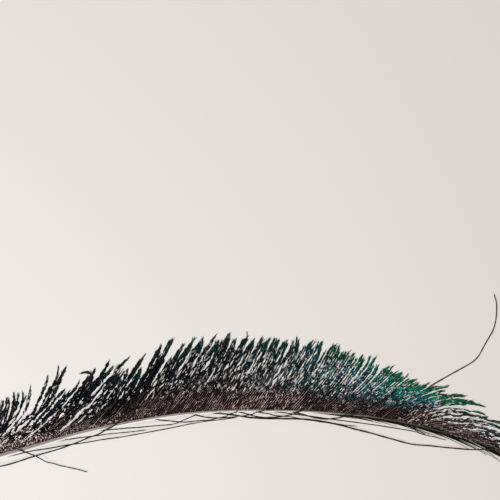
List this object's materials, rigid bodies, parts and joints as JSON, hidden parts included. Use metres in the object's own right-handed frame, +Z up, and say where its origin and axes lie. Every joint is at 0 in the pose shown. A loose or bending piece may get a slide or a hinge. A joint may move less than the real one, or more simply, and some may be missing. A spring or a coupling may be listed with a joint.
{
  "type": "peacock feather",
  "caption": "Curved one-sided peacock sword feather with its quill, lying flat: long green-tipped barbs sweep out from one side of the shaft.",
  "frame": {"origin": "on the surface that the feather lies on, under the middle of its box", "axes": "+X from the quill towards the tip, +Y towards the long barbs, +Z up from the surface"},
  "size_m": [0.4731, 0.1294, 0.0087],
  "materials": {
    "vane": "dark barbs with a metallic green and blue sheen at the tips",
    "shaft": "pale satin keratin, darker towards the tip",
    "down": "dull grey-brown fluff at the base"
  },
  "bodies": {
    "root": {"feather": "vane"}
  },
  "joints": []
}
